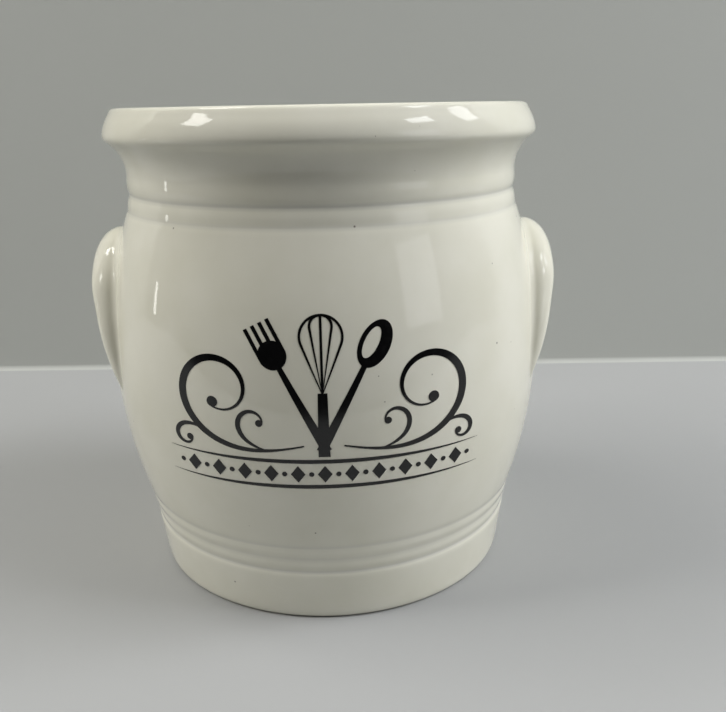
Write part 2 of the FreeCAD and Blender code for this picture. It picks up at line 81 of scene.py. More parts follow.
def share(name, value, words):
    """Property that holds a plain share."""
    return FloatProperty(name=name, description=words, default=value, min=0.0, max=1.0, subtype="FACTOR")


def factor(name, value, words):
    """Property that holds a plain number of 1 or more."""
    return FloatProperty(name=name, description=words, default=value, min=1.0)


def colour(name, hex_colour, words):
    """Property that holds a colour, given as sRGB hex."""
    return FloatVectorProperty(name=name, description=words, default=linear(hex_colour), size=4,
                               min=0.0, max=1.0, subtype="COLOR")


class CrockSizes(bpy.types.PropertyGroup):
    """Sizes of the turned body"""
    belly_radius: length("Belly radius", CAD_HIGH.x / MM, "Widest radius of the barrel, as packed")
    foot_band_height: length("Foot band", 18.7, "Foot to the lowest groove of the foot rings")
    foot_bead_width: length("Foot bead", 5.4, "Groove to groove in the foot rings")
    barrel_height: length("Barrel", 101.5, "Foot rings to the shoulder ring")
    belly_rise: length("Belly rise", 49.4, "Start of the barrel to its widest place")
    shoulder_bead_width: length("Shoulder bead", 6.25, "Groove to groove at the shoulder ring")
    neck_height: length("Neck", 16.85, "Shoulder ring to the underside of the flange")
    flange_height: length("Flange", 10.9, "Underside of the flange to the rim")
    barrel_foot_draw: length("Draw to the foot", 7.4, "Belly in to the barrel's lower edge")
    foot_ring_draw: length("Foot ring draw", 2.4, "Highest groove in to the lowest one of the foot rings")
    foot_band_draw: length("Foot band draw", 2.2, "Top of the foot band in to the foot")
    barrel_shoulder_draw: length("Draw to the shoulder", 8.8, "Belly in to the barrel's upper edge")
    shoulder_ring_draw: length("Shoulder ring draw", 1.3, "Lower groove in to the upper one")
    neck_band: length("Neck band", 5.2, "Upright band above the shoulder ring, before the neck flares")
    neck_band_crown: length("Neck band crown", 0.25, "How far that band bows out")
    neck_flare: length("Neck flare", 5.6, "Shoulder ring out to the top of the neck")
    flange_step: length("Flange step", 1.1, "Top of the neck out to the flange's widest place")
    flange_slant: length("Flange slant", 2.8, "Flange's widest place in to the top of its face")
    flange_crown: length("Flange crown", 0.45, "How far the flange's face bows out from a straight slant")
    foot_round: length("Foot rounding", 1.6, "Rounding of the foot's outer edge")
    ring_edge: length("Ring edge", 0.8, "Step from an outer groove to the wall beside it")
    bead_crown: length("Bead crown", 0.6, "How far a bead stands out from its two grooves")
    flange_lip: length("Flange lip", 2.3, "Flange's underside up to its widest place")
    flange_lip_crown: length("Flange lip crown", 0.45, "Rounding of the flange's lower edge")
    rim_round: length("Rim rounding", 1.8, "Rounding of the rim's outer edge")
    lip_round: length("Lip rounding", 1.9, "Rounding of the rim's inner edge")
    wall: length("Wall", 5.3, "Thickness of the wall")
    rim_thickness: length("Rim thickness", 6.3, "Thickness of the rim below its roundings")
    floor_thickness: length("Floor", 5.5, "Thickness of the floor")
    floor_round: length("Floor rounding", 9.0, "Rounding between the floor and the wall inside")
    foot_ring_width: length("Foot ring", 6.2, "Flat ring that the crock stands on")
    foot_recess: length("Foot recess", 2.5, "Depth of the underside inside the foot ring")
    recess_taper: length("Recess taper", 1.5, "How much the recess narrows to its top")
    glaze_softness: length("Glaze softness", 0.75, "How far the glaze rounds off edges and fills grooves")
    section_points: IntProperty(name="Section points", description="Points along the section", default=340)
    turns: IntProperty(name="Turns", description="Columns round the crock", default=192)


class LugSizes(bpy.types.PropertyGroup):
    """Sizes of the two luted ear lugs, each a roll of clay bent to an arch"""
    top_height: length("Top height", 118.0, "Middle of the roll at the top of its arch")
    fall: length("Fall", 48.5, "Top of the arch down to the lower ends of its legs")
    half_span: length("Half span", 32.5, "Middle of the lug out to a leg's lower end")
    roll_radius: length("Roll", 4.8, "Radius of the roll where its legs begin")
    roll_end_radius: length("Roll end", 2.5, "Radius of the roll at a leg's lower end")
    roll_stand: length("Stand", 2.5, "How far the roll's middle stands out at the top of the arch")
    roll_sink: length("Sink", 3.2, "How far the roll's middle lies in the wall at a leg's lower end")
    taper_power: factor("Taper power", 2.1, "Power of the way down that the legs thin out by")
    swell: length("Swell", 0.8, "How much fuller the roll is over the top of the arch")
    swell_start: share("Swell start", 0.2, "Share of the fall where the swell begins to fade")
    swell_end: share("Swell end", 0.42, "Share of the fall where the swell is gone")
    joint: length("Luted joint", 2.4, "Rounding of the smoothed joint between lug and wall")
    bed: length("Bed", 0.05, "How far the joint's edge lies in the wall")
    bury: length("Bury", 1.2, "How far the lug's back lies in the wall")


class PrintSizes(bpy.types.PropertyGroup):
    """Sizes of the fired print"""
    film: length("Film", 0.06, "Thickness of the fired print")
    layer: length("Layer", 0.003, "Step between strokes that cross")
    height: length("Height", 81.0, "Middle of the print above the foot")
    shift: length("Shift", -1.2, "Middle of the print to the right of the axis")
    fan_drop: length("Fan drop", 13.0, "Middle of the print down to where the handles cross")
    fan_angle: degrees("Fan angle", 27.0, "Lean of the fork and of the spoon")
    handle_length: length("Handle", 27.0, "Crossing of the handles to the fork's or spoon's head")
    handle_tail: length("Handle tail", 2.0, "Handle beyond the crossing")
    handle_end_width: length("Handle end", 3.0, "Handle at its end")
    handle_neck_width: length("Handle neck", 1.6, "Handle at its head")
    spoon_length: length("Spoon bowl", 14.8, "Length of the spoon's bowl")
    spoon_width: length("Spoon width", 9.2, "Width of the spoon's bowl")
    spoon_hollow_length: length("Spoon hollow", 9.8, "Length of the bare place in the bowl")
    spoon_hollow_width: length("Spoon hollow width", 4.2, "Width of the bare place in the bowl")
    spoon_hollow_shift: length("Spoon hollow shift", 1.1, "Bare place to the left of the bowl's middle")
    fork_width: length("Fork width", 8.4, "Width of the fork's head")
    fork_palm_length: length("Fork palm", 8.8, "Length of the fork's palm")
    tine_length: length("Tine", 10.0, "Length of a tine from the middle of the palm")
    tine_width: length("Tine width", 1.15, "Width of a tine")
    tine_count: IntProperty(name="Tines", description="Tines of the fork", default=4, min=2)
    whisk_grip_length: length("Whisk grip", 16.0, "Whisk's grip above the crossing")
    whisk_grip_tail: length("Whisk grip tail", 3.6, "Whisk's grip below the crossing")
    whisk_grip_width: length("Whisk grip width", 3.6, "Width of the whisk's grip")
    whisk_loop_length: length("Whisk loops", 24.0, "Length of the whisk's wires")
    whisk_loop_width: length("Whisk width", 13.2, "Width of the whisk's outer loop")
    whisk_inner_width: length("Whisk inner width", 7.2, "Width of the whisk's inner loop")
    whisk_wire: length("Whisk wire", 0.75, "Line width of the whisk's wires")
    scroll_start: length("Scroll start", 6.0, "Start of a large scroll beside the handles")
    scroll_length: length("Scroll", 92.0, "Length of a large scroll's line")
    scroll_thin: length("Scroll thin", 0.5, "Line width at a scroll's ends")
    scroll_thick: length("Scroll thick", 2.4, "Line width in the middle of a large scroll")
    scroll_ball: length("Scroll ball", 1.7, "Radius of a large scroll's ball end")
    outer_curl_length: length("Outer curl", 20.0, "Length of the outer curl's line")
    inner_curl_length: length("Inner curl", 25.0, "Length of the inner curl's line")
    curl_thick: length("Curl thick", 1.5, "Line width in the middle of a curl")
    curl_ball: length("Curl ball", 1.1, "Radius of a curl's ball end")
    border_gap: length("Border gap", 0.95, "Lower end of the whisk's grip down to the border")
    rule_spacing: length("Rule spacing", 8.8, "Line to line of the border")
    rule_length: length("Rule", 98.0, "Length of the border's lines")
    rule_thick: length("Rule thick", 1.3, "Border's line at its middle")
    lozenge_count: IntProperty(name="Lozenges", description="Lozenges in the border", default=11, min=1)
    lozenge_pitch: length("Lozenge pitch", 8.2, "Lozenge to lozenge in the border")
    lozenge_width: length("Lozenge width", 4.4, "Width of a lozenge")
    lozenge_height: length("Lozenge height", 5.8, "Height of a lozenge")
    dot_radius: length("Dot", 0.8, "Radius of the dots between lozenges")


class GlazeLooks(bpy.types.PropertyGroup):
    """Colours and finish of the glaze and of the print"""
    glaze: colour("Glaze", "#E9E7D9", "Clear gloss glaze over a warm white body")
    mottle: colour("Mottle", "#E3E1D1", "Slightly thicker clouds of the glaze")
    # Greyer tone in the grooves, then how sharply a groove must bend to take it and how much it takes:
    # partly glaze run into the grooves, partly painted shade in them
    pooled_and_shaded: colour("Pooled glaze and shade", "#D3D2C8", "Glaze where it has run into grooves")
    pool_and_shade_bend: factor("Pool bend", 900.0, "Bend of a groove, per metre, that fills with glaze")
    pool_and_shade_most: share("Pool share", 0.8, "Most that a groove takes the pooled tone")
    speck: colour("Iron speck", "#5A4F40", "Iron specks burnt through the glaze")
    biscuit: colour("Bare biscuit", "#D9CDB8", "Unglazed foot ring")
    print_black: colour("Print", "#070708", "Black fired enamel")
    print_thin: colour("Thin print", "#121213", "Places where the enamel is thinner")
    gloss_roughness: share("Glaze roughness", 0.05, "Micro roughness of the fired glaze")
    print_roughness: share("Print roughness", 0.12, "Micro roughness of the fired print")
    speck_spacing: length("Speck spacing", 11.0, "Cell that holds one iron speck")
    speck_radius: length("Speck radius", 0.42, "Largest iron speck")
    cloud_size: length("Clouds", 22.0, "Size of the glaze's faint clouds")
    wave_size: length("Waves", 16.0, "Width of the slow waves in the glaze's surface")
    wave_depth: length("Wave depth", 0.035, "Depth of the slow waves")
    bare_height: length("Bare height", 0.45, "Height up to which the foot ring is wiped bare")


class StageLooks(bpy.types.PropertyGroup):
    """Floor, backdrop, lights and camera"""
    floor: colour("Floor", "#A8A9A9", "Plain pale floor")
    backdrop: colour("Backdrop", "#B6B8B4", "Plain grey wall behind")
    room: colour("Room", "#F4F5F2", "Dim light from all round")
    room_strength: share("Room strength", 0.03, "How strong the light from all round is")
    wall_distance: length("Wall distance", 209.0, "Crock's axis to the foot of the wall")
    stage_turn: degrees("Stage turn", -2.8, "Floor and wall turned about the crock's axis")
    cove: length("Cove", 3.0, "Rounding between floor and wall")
    stage_width: length("Stage width", 2400.0, "Width of floor and wall")
    floor_depth: length("Floor depth", 260.0, "Floor in front of the crock")
    wall_height: length("Wall height", 1100.0, "Height of the wall")
    camera_place: FloatVectorProperty(name="Camera place", description="Where the camera stands",
                                      default=(0.0031, -0.2972, 0.16445),
                                      subtype="TRANSLATION", unit="LENGTH")
    camera_pan: degrees("Pan", -2.009, "Camera turned left or right")
    camera_dip: degrees("Dip", 17.40, "Camera tipped below the horizon")
    camera_roll: degrees("Roll", -1.043, "Camera rolled about its own axis")
    lens: factor("Lens", 39.67, "Focal length on a 36 mm sensor, in millimetres")


# Lamps that shine on the crock's middle: name, bearing from the front and height angle in degrees, distance,
# width and height in metres, watts, colour, and whether the glaze mirrors it
LAMPS = (
    ("overhead_light", 0, 78, 1.2, 1.3, 1.0, 1.0, "#FFFDF8", False),
    ("left_high_lamp", -119, 64, 1.0, 0.30, 0.25, 2.2, "#FFFDF8", True),
    ("right_high_lamp", 73, 56, 1.0, 0.20, 0.12, 0.5, "#FCFDFF", True),
    ("right_window", 88, 38, 1.3, 1.0, 1.1, 19.0, "#FCFDFF", False),
    ("left_window", -92, 38, 1.3, 0.9, 1.0, 13.8, "#FFFDF8", False),
    ("front_right_fill", 42, 42, 1.4, 1.0, 1.0, 0.8, "#FCFDFF", False),
    ("left_highlight", -72, 40, 1.0, 0.18, 0.20, 0.8, "#FFFDF8", True),
    ("right_highlight", 57, 41, 1.0, 0.20, 0.14, 0.58, "#FCFDFF", True),
    ("far_right_highlight", 88, 38, 1.0, 0.16, 0.26, 0.6, "#FCFDFF", True),
    ("low_left_highlight", -94, 2, 1.0, 0.03, 0.12, 0.06, "#FFFDF8", True),
    ("right_pane", 49, 13, 1.0, 0.35, 0.4, 0.5, "#FCFDFF", True),
)

# Turns of the scroll lines, in radians: heading at the start, then the first and second
# powers of the share of the line
SCROLL_ANGLES = (-0.21, 0.14, 6.9)
OUTER_CURL_ANGLES = (0.49, -0.9, -4.3)
INNER_CURL_ANGLES = (0.28, 0.55, 4.1)
# Shares of a large scroll's line where its two curls grow
OUTER_CURL_PLACE = 11 / 32
INNER_CURL_PLACE = 4 / 32
# Power of the sine by which a pen stroke swells to its middle
SWELL_POWER = 1.4
# How far short of a point the ends of a stroke and of a border line stop, as shares
TIP = 0.02
RULE_TIP = 0.002
# Layers that the strokes lie in by turns, so that none that cross share a surface
LAYER_COUNT = 16
# Step along the body's section before it is thinned out, and how much closer its points lie in a bend
TRACE_STEP = 0.1 * MM
BEND_WEIGHT = 0.004
# Share of a lug's leg at which its shell stops, just short of vanishing into the wall
LEG_END = 0.999
# Angles between faces above which an edge stays sharp
BODY_CREASE = math.radians(80)
LUG_CREASE = math.radians(60)
PRINT_CREASE = math.radians(40)
# Bounds of the noise that makes the glaze's clouds and the print's thin places
CLOUD_RANGE = (0.35, 0.7)
THIN_RANGE = (0.5, 0.8)
# Iron specks: the smallest as a share of the largest, the soft edge as shares of the radius, and the tone
SPECK_LEAST = 0.35
SPECK_EDGE = (0.45, 1.15)
SPECK_TONE = 0.85
# Share of the bare height where the wiped edge begins to fade, and how dull the bare foot ring is
WIPE_START = 0.6
BARE_ROUGHNESS = 0.75
# Grain of the enamel film, and how much duller it is where it is thin
FILM_GRAIN = 1.5 * MM
THIN_DULLING = 1.6
GLAZE_IOR = 1.52
ENAMEL_IOR = 1.5
# A value from 0 to 1, and the sockets of a Mix node that take and give colours
UNIT = (0.0, 1.0)
MIX_FIRST = 6
MIX_SECOND = 7
MIX_RESULT = 2
# Camera's sensor in millimetres and the nearest that it sees in metres
SENSOR_WIDTH = 36.0
NEAREST = 0.01
COVE_POINTS = 17


def crock_marks(pot):
    """Heights stacked up from the foot and radii stepped in and out from the belly, which the section,
    the lugs and the print share. Barrel arcs are upright where they meet at the belly."""
    marks = SimpleNamespace()
    marks.foot_grooves = [pot.foot_band_height + count * pot.foot_bead_width for count in range(3)]
    marks.belly = marks.foot_grooves[2] + pot.belly_rise
    first_groove = marks.foot_grooves[2] + pot.barrel_height
    marks.shoulder_grooves = [first_groove + count * pot.shoulder_bead_width for count in range(2)]
    marks.neck_top = marks.shoulder_grooves[1] + pot.neck_height
    marks.rim = marks.neck_top + pot.flange_height
    marks.barrel_start = marks.foot_grooves[2] + pot.ring_edge
    marks.barrel_end = marks.shoulder_grooves[0] - pot.ring_edge
    marks.start_radius = pot.belly_radius - pot.barrel_foot_draw
    marks.end_radius = pot.belly_radius - pot.barrel_shoulder_draw
    foot_top = marks.start_radius - pot.ring_edge
    marks.foot_ring_radii = [foot_top - pot.foot_ring_draw * (2 - count) / 2 for count in range(3)]
    shoulder_low = marks.end_radius - pot.ring_edge
    marks.shoulder_ring_radii = [shoulder_low, shoulder_low - pot.shoulder_ring_draw]
    marks.lower_arc = tangent_arc(pot.barrel_foot_draw, marks.belly - marks.barrel_start)
    marks.upper_arc = tangent_arc(pot.barrel_shoulder_draw, marks.barrel_end - marks.belly)
    return marks


def tangent_arc(draw, rise):
    """Radius of an arc that leaves the upright and draws in by that much over that rise."""
    return (draw ** 2 + rise ** 2) / (2 * draw)


def crowned_arc(chord, crown):
    """Radius of an arc that stands out by the crown over that chord."""
    return chord ** 2 / (8 * crown) + crown / 2


def barrel_wall(pot, height):
    """Outer radius of the barrel at a height: belly radius less the drop of the lower or upper arc."""
    marks = crock_marks(pot)
    arc = np.where(height < marks.belly, marks.lower_arc, marks.upper_arc)
    return pot.belly_radius - arc + np.sqrt(arc ** 2 - (height - marks.belly) ** 2)


def crock_section(pot):
    """Corners of the section from the middle of the underside, up the outside, over the rim and down
    to the middle of the floor: radius, height and the bow of the edge to the next corner.
    A bow is 0 for a line, or an arc's radius, above 0 to the right of the way and below 0 to the left."""
    marks = crock_marks(pot)
    foot_bead = crowned_arc(math.hypot(pot.foot_bead_width, pot.foot_ring_draw / 2), pot.bead_crown)
    shoulder_bead = crowned_arc(math.hypot(pot.shoulder_bead_width, pot.shoulder_ring_draw), pot.bead_crown)
    lip = crowned_arc(math.hypot(pot.flange_lip, pot.flange_step), pot.flange_lip_crown)
    band_top = marks.foot_ring_radii[0] + pot.ring_edge
    foot = band_top - pot.foot_band_draw
    rest = foot - pot.foot_round
    recess = rest - pot.foot_ring_width
    neck_start = marks.shoulder_ring_radii[1] + pot.ring_edge
    neck_top = neck_start + pot.neck_flare
    band_start = marks.shoulder_grooves[1] + pot.ring_edge
    band = crowned_arc(pot.neck_band, pot.neck_band_crown)
    cove = tangent_arc(pot.neck_flare, pot.neck_height - pot.ring_edge - pot.neck_band)
    flange = neck_top + pot.flange_step
    rim = flange - pot.flange_slant
    face_rise = pot.flange_height - pot.flange_lip - pot.rim_round
    face = crowned_arc(math.hypot(pot.flange_slant, face_rise), pot.flange_crown)
    mouth = rim - pot.rim_thickness
    floor = pot.foot_recess + pot.floor_thickness
    inner_foot = marks.foot_ring_radii[0] - pot.wall
    inner_start = marks.foot_ring_radii[2] - pot.wall
    inner_belly = pot.belly_radius - pot.wall
    inner_end = marks.shoulder_ring_radii[0] - pot.wall
    inner_lower = tangent_arc(inner_belly - inner_start, marks.belly - marks.foot_grooves[2])
    inner_upper = tangent_arc(inner_belly - inner_end, marks.shoulder_grooves[0] - marks.belly)
    return [
        (0.0, pot.foot_recess, 0),
        (recess - pot.recess_taper, pot.foot_recess, 0),
        (recess, 0.0, 0),
        (rest, 0.0, pot.foot_round),
        (foot, pot.foot_round, 0),
        (band_top, marks.foot_grooves[0] - pot.ring_edge, pot.ring_edge),
        (marks.foot_ring_radii[0], marks.foot_grooves[0], foot_bead),
        (marks.foot_ring_radii[1], marks.foot_grooves[1], foot_bead),
        (marks.foot_ring_radii[2], marks.foot_grooves[2], pot.ring_edge),
        (marks.start_radius, marks.barrel_start, marks.lower_arc),
        (pot.belly_radius, marks.belly, marks.upper_arc),
        (marks.end_radius, marks.barrel_end, pot.ring_edge),
        (marks.shoulder_ring_radii[0], marks.shoulder_grooves[0], shoulder_bead),
        (marks.shoulder_ring_radii[1], marks.shoulder_grooves[1], pot.ring_edge),
        (neck_start, band_start, band),
        (neck_start, band_start + pot.neck_band, -cove),
        (neck_top, marks.neck_top, lip),
        (flange, marks.neck_top + pot.flange_lip, face),
        (rim, marks.rim - pot.rim_round, pot.rim_round),
        (rim - pot.rim_round, marks.rim, 0),
        (mouth + pot.lip_round, marks.rim, pot.lip_round),
        (mouth, marks.rim - pot.lip_round, 0),
        (marks.shoulder_ring_radii[1] - pot.wall, marks.shoulder_grooves[1], 0),
        (inner_end, marks.shoulder_grooves[0], -inner_upper),
        (inner_belly, marks.belly, -inner_lower),
        (inner_start, marks.foot_grooves[2], 0),
        (inner_foot, floor + pot.floor_round, -pot.floor_round),
        (inner_foot - pot.floor_round, floor, 0),
        (0.0, floor, 0),
    ]


def trace(corners, step):
    """Points along the edges between corners, about one step apart. On an arc, the way along the chord
    is the sine and the bow beside it the cosine of an angle that runs evenly from end to end."""
    runs = []
    for (radius, height, bow), (next_radius, next_height, _) in zip(corners, corners[1:]):
        start = np.array((radius, height))
        chord = np.array((next_radius, next_height)) - start
        span = math.hypot(*chord)
        part = np.linspace(0, 1, max(3, int(span / step)), endpoint=False)[:, None]
        if bow:
            half = math.asin(span / 2 / abs(bow))
            turn = (2 * part - 1) * half
            right = np.array((chord[1], -chord[0])) / span
            part = (np.sin(turn) / math.sin(half) + 1) / 2
            runs.append(start + chord * part + right * bow * (np.cos(turn) - math.cos(half)))
        else:
            runs.append(start + chord * part)
    runs.append(np.array([corners[-1][:2]]))
    return np.concatenate(runs)


def soften(points, spread, step):
    """Evenly spaced points, each the bell-shaped average of those around it, as glaze rounds edges and
    fills grooves. Past its two ends on the axis the section goes on as its own mirror image."""
    way = np.concatenate(([0], np.cumsum(np.hypot(*np.diff(points, axis=0).T))))
    even = np.linspace(0, way[-1], int(way[-1] / step))
    radius = np.interp(even, way, points[:, 0])
    height = np.interp(even, way, points[:, 1])
    reach = int(4 * spread / step)
    bell = np.exp(-0.5 * (np.arange(-reach, reach + 1) * step / spread) ** 2)
    bell /= bell.sum()
    radius = np.concatenate((-radius[reach:0:-1], radius, -radius[-2:-reach - 2:-1]))
    height = np.concatenate((height[reach:0:-1], height, height[-2:-reach - 2:-1]))
    return np.stack((np.convolve(radius, bell, "valid"), np.convolve(height, bell, "valid")), axis=1)


def thin_out(points, count):
    """That many of the points, closer together where the line bends more, and the bend at each of them
    per metre: above 0 on a crest and below 0 in a groove."""
    steps = np.diff(points, axis=0)
    gaps = np.hypot(*steps.T)
    heading = np.unwrap(np.arctan2(steps[:, 1], steps[:, 0]))
    bend = np.gradient(heading) / gaps
    weight = gaps * (1 + BEND_WEIGHT * np.abs(bend))
    way = np.concatenate(([0], np.cumsum(weight)))
    places = np.linspace(0, way[-1], count)
    kept = np.stack([np.interp(places, way, points[:, axis]) for axis in (0, 1)], axis=1)
    bends = np.interp(places, (way[1:] + way[:-1]) / 2, bend)
    return kept, bends


def turned_shell(section, columns):
    """The section carried round the axis: x = r cos a, y = r sin a, z = height. The seam is at the back."""
    angle = math.pi / 2 + np.arange(columns) * 2 * math.pi / columns
    radius = section[:, :1]
    height = np.broadcast_to(section[:, 1:], (len(section), columns))
    return np.stack((radius * np.cos(angle), radius * np.sin(angle), height), axis=2)


def lug_shell(pot, lug, side, rows=121, columns=37, foot_columns=8):
    """Roll bent to half an ellipse on the barrel's wall: across = half span * sin a and
    height = top - fall * (1 - cos a). Going down, its radius shrinks and its middle sinks into the wall
    by (1 - cos a) to the taper power. Its section is a circle with a hollow arc at each foot, carried
    out from the wall. Side is 1 right, -1 left."""
    shrink = lug.roll_radius - lug.roll_end_radius
    sinking = lug.roll_stand + lug.roll_sink
    last = ((lug.roll_radius + lug.roll_stand) / (shrink + sinking)) ** (1 / lug.taper_power)
    turn = np.linspace(-1, 1, rows)[:, None] * math.acos(1 - LEG_END * last)
    down = 1 - np.cos(turn)
    taper = down ** lug.taper_power
    fade = np.clip((down - lug.swell_start) / (lug.swell_end - lug.swell_start), 0, 1)
    radius = lug.roll_radius - shrink * taper + lug.swell * (1 - fade ** 2 * (3 - 2 * fade))
    middle = lug.roll_stand - sinking * taper
    # Half width of the section at the wall, and the angle at which circle and hollow arc touch
    foot = np.sqrt((radius + lug.joint) ** 2 - (lug.joint - middle) ** 2)
    lean = np.arctan2(foot, lug.joint - middle)
    circle = lean * np.linspace(-1, 1, columns)
    part = np.linspace(0, 1, foot_columns + 1)[1:]
    hollow = lean * (1 - part)
    slope = foot - lug.joint * np.sin(hollow)
    rise = lug.joint * (1 - np.cos(hollow)) - lug.bed * part
    back = np.full_like(foot, -lug.bury)
    beside = np.concatenate((-foot, -slope[:, ::-1], radius * np.sin(circle), slope, foot), axis=1)
    lift = np.concatenate((back, rise[:, ::-1], middle + radius * np.cos(circle), rise, back), axis=1)
    across = lug.half_span * np.sin(turn)
    height = lug.top_height - lug.fall * down
    heading = np.arctan2(-lug.fall * np.sin(turn), lug.half_span * np.cos(turn))
    wall = barrel_wall(pot, height)
    around = np.arcsin(across / wall) - beside * np.sin(heading) / wall
    level = height + beside * np.cos(heading)
    outward = barrel_wall(pot, level) + lift
    grid = np.stack((side * outward * np.cos(around), side * outward * np.sin(around), level), axis=2)
    # Columns turned round, so that the faces point outward
    return grid[:, ::-1]


def bar(tail, reach, end_width, neck_width, rows=25):
    """Straight tapered bar up from below the crossing, as its left and right edges."""
    up = np.linspace(-tail, reach, rows)
    half = np.interp(up, (-tail, reach), (end_width / 2, neck_width / 2))
    return np.stack((-half, up), axis=1), np.stack((half, up), axis=1)


def oval(across, up, width, height, rows=33):
    """Ellipse as left and right edges: half width times the sine and half height times the cosine
    of an angle."""
    angle = np.linspace(TIP, math.pi - TIP, rows)
    rise = up - height / 2 * np.cos(angle)
    half = width / 2 * np.sin(angle)
    return np.stack((across - half, rise), axis=1), np.stack((across + half, rise), axis=1)


def lozenge(across, up, width, height, rows=15):
    """Diamond as left and right edges that widen evenly to the middle and narrow again."""
    part = np.linspace(TIP - 1, 1 - TIP, rows)
    half = width / 2 * (1 - np.abs(part))
    rise = up + part * height / 2
    return np.stack((across - half, rise), axis=1), np.stack((across + half, rise), axis=1)


def teardrop(foot, top, radius, crown_rows=61, leg_rows=21):
    """Line up from the foot to a circle that ends at the top, round it, and back down to the foot."""
    center = top - radius
    lean = math.asin(radius / (center - foot))
    angle = np.linspace(-lean, math.pi + lean, crown_rows)
    crown = np.stack((radius * np.cos(angle), center + radius * np.sin(angle)), axis=1)
    part = np.linspace(0, 1, leg_rows, endpoint=False)[:, None]
    start = np.array((0.0, foot))
    rising = start + (crown[0] - start) * part
    falling = start + (crown[-1] - start) * part
    return np.concatenate((rising, crown, falling[::-1]))


def pen_line(start, turns, reach, count=192):
    """Points and headings along a line whose heading is first turn + second * share + third * share
    squared. Each point is the sum of the short steps before it, and every other one is kept."""
    middle = (np.arange(count) + 0.5) / count
    heading = turns[0] + turns[1] * middle + turns[2] * middle ** 2
    steps = np.stack((np.cos(heading), np.sin(heading)), axis=1) * reach / count
    points = np.array(start) + np.concatenate((np.zeros((1, 2)), np.cumsum(steps, axis=0)))
    ends = np.linspace(0, 1, count + 1)
    return points[::2], (turns[0] + turns[1] * ends + turns[2] * ends ** 2)[::2]


def pen_stroke(line, thin, thick, ball):
    """Stroke along a line that swells by a power of the sine of its share, and a ball inside its end."""
    points, heading = line
    part = np.linspace(0, 1, len(points))
    half = thin / 2 + (thick - thin) / 2 * np.sin(math.pi * part) ** SWELL_POWER
    left = np.stack((-np.sin(heading), np.cos(heading)), axis=1)
    inside = math.copysign(ball - thin / 2, heading[-1] - heading[0])
    middle = points[-1] + left[-1] * inside
    return [(points + left * half[:, None], points - left * half[:, None]),
            oval(middle[0], middle[1], 2 * ball, 2 * ball)]


def leaned(decal, strokes, angle):
    """Strokes swung clockwise about the place where the handles cross, below the print's middle."""
    swing = np.array(((math.cos(angle), -math.sin(angle)), (math.sin(angle), math.cos(angle))))
    drop = np.array((0.0, -decal.fan_drop))
    return [(left @ swing + drop, right @ swing + drop) for left, right in strokes]


def fork_strokes(decal, handle):
    """Upright fork: handle, oval palm and a row of straight tines."""
    palm = decal.handle_length + decal.fork_palm_length / 2
    strokes = [handle, oval(0.0, palm, decal.fork_width, decal.fork_palm_length)]
    for place in np.linspace(-1, 1, decal.tine_count) * (decal.fork_width - decal.tine_width) / 2:
        left, right = bar(-palm, palm + decal.tine_length, decal.tine_width, decal.tine_width)
        strokes.append((left + (place, 0.0), right + (place, 0.0)))
    return strokes


def whisk_strokes(decal):
    """Upright whisk: grip, middle wire and two loops, each the stretch between two teardrops."""
    wire = decal.whisk_wire
    grip = decal.whisk_grip_length
    top = grip + decal.whisk_loop_length
    width = decal.whisk_grip_width
    strokes = [bar(decal.whisk_grip_tail, grip + wire, width, width - wire),
               bar(0.0, top - wire / 2, wire, wire)]
    for loop in (decal.whisk_loop_width, decal.whisk_inner_width):
        strokes.append((teardrop(grip + wire, top - wire, loop / 2 - wire), teardrop(grip, top, loop / 2)))
    return strokes


def utensil_fan(decal):
    """Fork leaning left, upright whisk and spoon handle leaning right, with their handles crossing."""
    handle = bar(decal.handle_tail, decal.handle_length + decal.tine_width,
                 decal.handle_end_width, decal.handle_neck_width)
    return (leaned(decal, fork_strokes(decal, handle), -decal.fan_angle)
            + leaned(decal, whisk_strokes(decal), 0.0) + leaned(decal, [handle], decal.fan_angle))


def spoon_bowl(decal, rows=72):
    """Ring between the bowl's ellipse and its bare place, as inner and outer edges that close
    on themselves."""
    angle = np.arange(rows) * 2 * math.pi / rows
    turn = np.stack((np.cos(angle), np.sin(angle)), axis=1)
    middle = decal.handle_length + decal.spoon_length / 2
    outer = turn * (decal.spoon_width / 2, decal.spoon_length / 2) + (0.0, middle)
    inner = turn * (decal.spoon_hollow_width / 2, decal.spoon_hollow_length / 2)
    inner = inner + (-decal.spoon_hollow_shift, middle)
    return leaned(decal, [(inner, outer)], decal.fan_angle)


def scrolls(decal):
    """Large scroll with a small curl at each side of it, at the right, and the same mirrored
    at the left."""
    root = pen_line((decal.scroll_start, -decal.fan_drop), SCROLL_ANGLES, decal.scroll_length)
    strokes = pen_stroke(root, decal.scroll_thin, decal.scroll_thick, decal.scroll_ball)
    for place, turns, reach in ((OUTER_CURL_PLACE, OUTER_CURL_ANGLES, decal.outer_curl_length),
                                (INNER_CURL_PLACE, INNER_CURL_ANGLES, decal.inner_curl_length)):
        start = root[0][round(place * (len(root[0]) - 1))]
        curl = pen_line(start, turns, reach)
        strokes += pen_stroke(curl, decal.scroll_thin, decal.curl_thick, decal.curl_ball)
    mirror = np.array((-1.0, 1.0))
    return strokes + [(right * mirror, left * mirror) for left, right in strokes]


